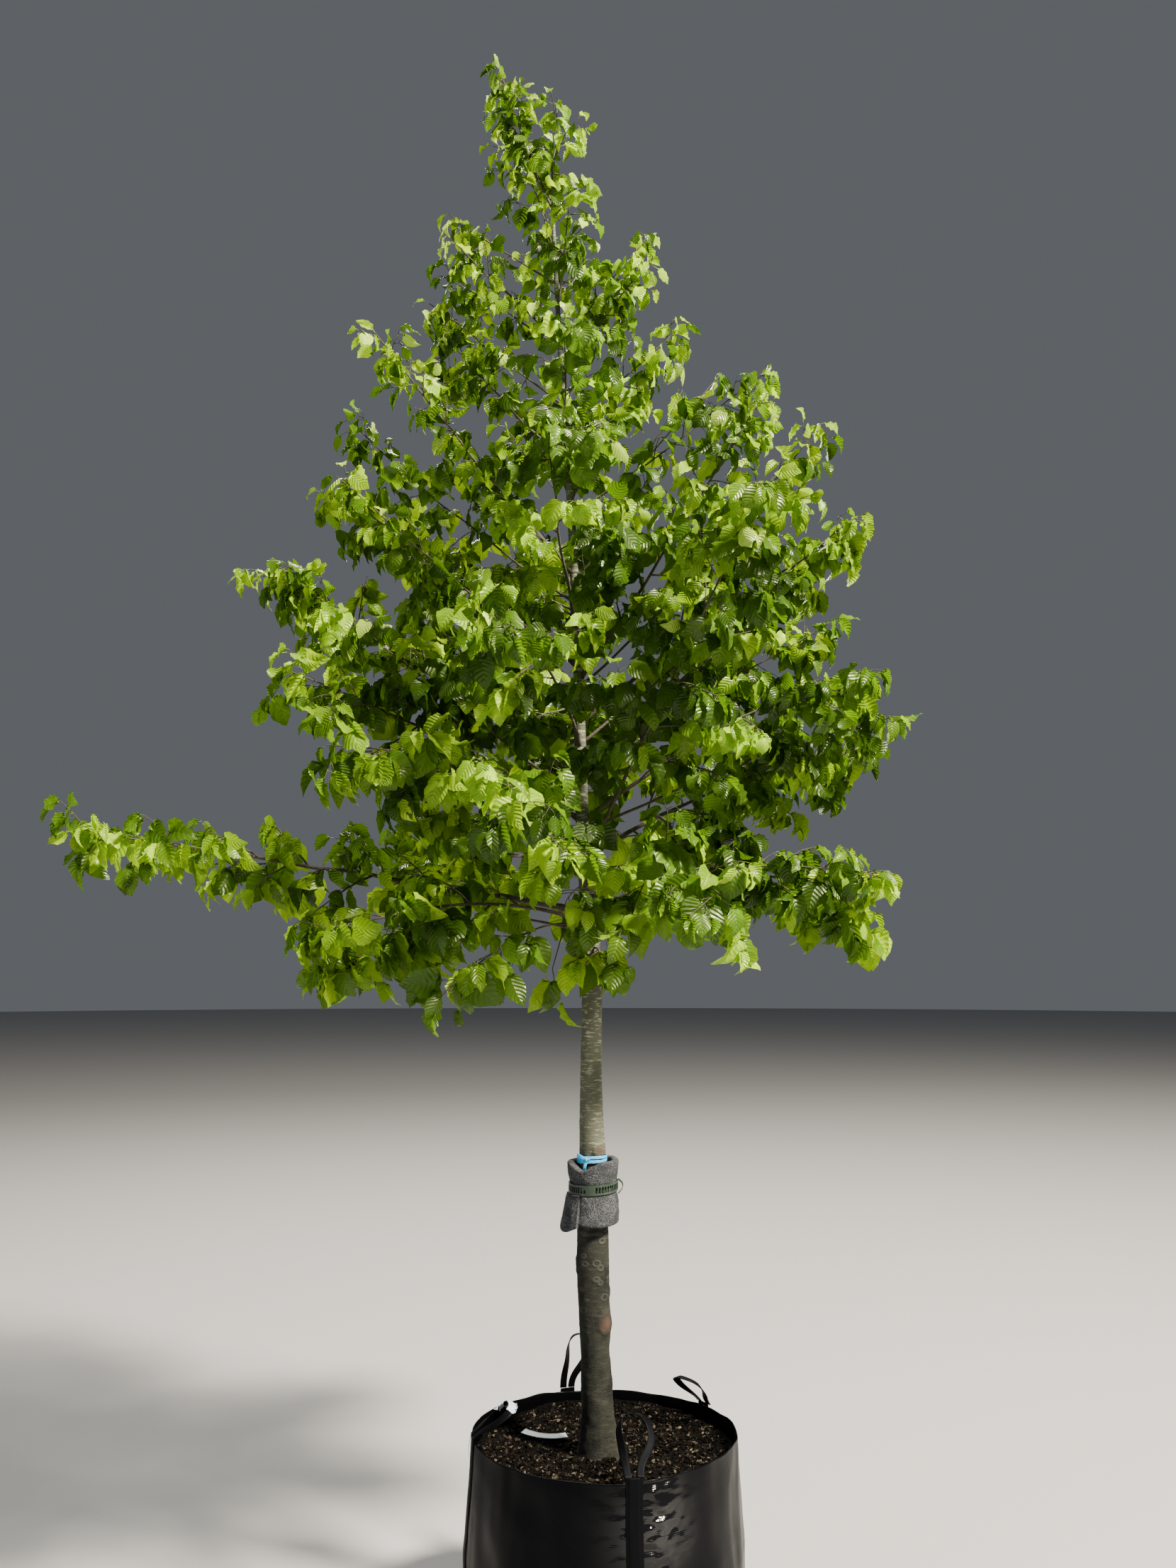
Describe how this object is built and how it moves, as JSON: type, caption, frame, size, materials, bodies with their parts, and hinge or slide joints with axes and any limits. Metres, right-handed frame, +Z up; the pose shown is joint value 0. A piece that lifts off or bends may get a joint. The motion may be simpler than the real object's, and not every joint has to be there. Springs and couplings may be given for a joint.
{
  "type": "sapling with bagged root ball",
  "caption": "Young broadleaf tree in spring leaf on one clear stem, with foam collar and ribbon, its root ball in a black woven planting bag with lifting loops",
  "frame": {"origin": "centre of the planting bag's flat underside, on the ground", "axes": "+Z up, from the underside to the top of the crown; -Y is the front, the side that the picture shows; +X is the right as seen from the front"},
  "size_m": [2.3507, 1.5568, 4.3426],
  "materials": {
    "bark": "matt bark with lenticels",
    "young_bark": "smooth young bark",
    "leaves": "soft glossy spring leaf",
    "soil": "moist potting soil with bark chips",
    "woven_bag": "woven plastic with a low sheen",
    "webbing": "woven webbing",
    "foam_collar": "grey foam",
    "belt": "dark green moulded tree tie",
    "ribbon": "thin plastic ribbon",
    "label": "blank white plastic"
  },
  "bodies": {
    "root": {"trunk": "bark", "bag": "woven_bag", "soil": "soil", "handle_front": "webbing", "handle_back": "webbing", "handle_left": "webbing", "handle_right": "webbing", "label_tape": "label", "label_strip": "label", "collar": "foam_collar", "belt": "belt", "ribbon": "ribbon", "low_left_bough": "young_bark", "low_hanging_left_bough": "young_bark", "low_right_bough": "young_bark", "low_front_right_bough": "young_bark", "low_front_bough": "young_bark", "low_back_left_bough": "young_bark", "low_back_right_bough": "young_bark", "middle_left_bough": "young_bark", "middle_front_left_bough": "young_bark", "middle_right_bough": "young_bark", "middle_front_right_bough": "young_bark", "high_far_left_bough": "young_bark", "high_left_bough": "young_bark", "high_left_spire_bough": "young_bark", "high_right_spire_bough": "young_bark", "high_right_bough": "young_bark", "low_left_foliage": "leaves", "low_hanging_left_foliage": "leaves", "low_right_foliage": "leaves", "low_front_right_foliage": "leaves", "low_front_foliage": "leaves", "low_back_left_foliage": "leaves", "low_back_right_foliage": "leaves", "low_tuft_foliage": "leaves", "middle_left_foliage": "leaves", "middle_front_left_foliage": "leaves", "middle_right_foliage": "leaves", "middle_low_right_foliage": "leaves", "middle_front_right_foliage": "leaves", "middle_front_foliage": "leaves", "middle_back_foliage": "leaves", "high_far_left_foliage": "leaves", "high_left_foliage": "leaves", "high_left_spire_foliage": "leaves", "high_right_spire_foliage": "leaves", "high_right_foliage": "leaves", "high_front_foliage": "leaves", "high_back_foliage": "leaves", "upper_left_foliage": "leaves", "upper_right_foliage": "leaves", "upper_front_foliage": "leaves", "upper_back_foliage": "leaves", "crown_left_foliage": "leaves", "crown_right_foliage": "leaves", "crown_front_foliage": "leaves", "crown_back_foliage": "leaves", "leader_right_foliage": "leaves", "leader_left_foliage": "leaves"}
  },
  "joints": []
}
